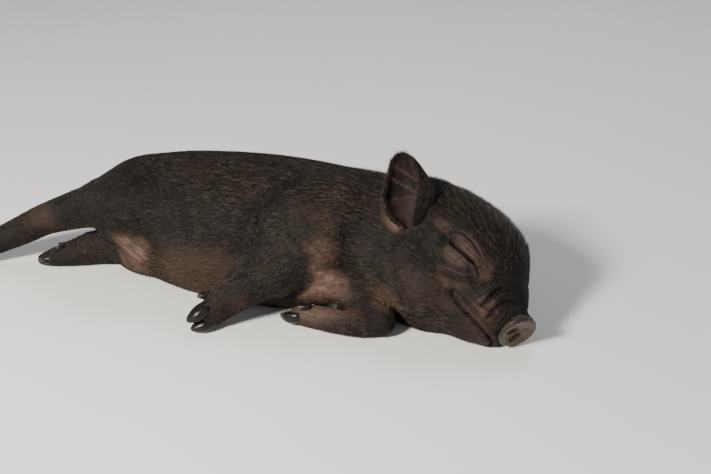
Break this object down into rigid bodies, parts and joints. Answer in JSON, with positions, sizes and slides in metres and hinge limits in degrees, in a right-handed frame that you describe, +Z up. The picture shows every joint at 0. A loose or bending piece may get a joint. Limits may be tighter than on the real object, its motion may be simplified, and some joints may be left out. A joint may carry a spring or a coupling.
{
  "type": "sleeping piglet",
  "caption": "Life-size still model of a small black domestic piglet asleep on its belly and side, head on the ground and one hind leg stretched back.",
  "frame": {"origin": "on the floor, under the middle of the trunk, at the middle of the belly's flat", "axes": "+X from the tail to the snout along the trunk, +Y to the side the back lies on, +Z up from the floor"},
  "size_m": [0.5564, 0.2046, 0.1445],
  "materials": {
    "coat": "short flat black hair over dark skin",
    "ear": "thin dark skin with sparse hair",
    "eye": "wet dark eye",
    "snout": "bare moist grey-brown skin",
    "claw": "smooth black horn"
  },
  "bodies": {
    "root": {"torso": "coat", "neck": "coat", "head": "coat", "tail": "coat", "foreleg_right": "coat", "forefoot_right": "coat", "foreleg_left": "coat", "forefoot_left": "coat", "hindleg_right": "coat", "hindfoot_right": "coat", "hindleg_left": "coat", "hindfoot_left": "coat", "ear_right": "ear", "ear_left": "ear", "eye_right": "eye", "eye_left": "eye", "snout": "snout", "forefoot_right_claw_outer": "claw", "forefoot_right_claw_inner": "claw", "forefoot_left_claw_outer": "claw", "forefoot_left_claw_inner": "claw", "hindfoot_right_claw_outer": "claw", "hindfoot_right_claw_inner": "claw", "hindfoot_left_claw_outer": "claw", "hindfoot_left_claw_inner": "claw"}
  },
  "joints": []
}
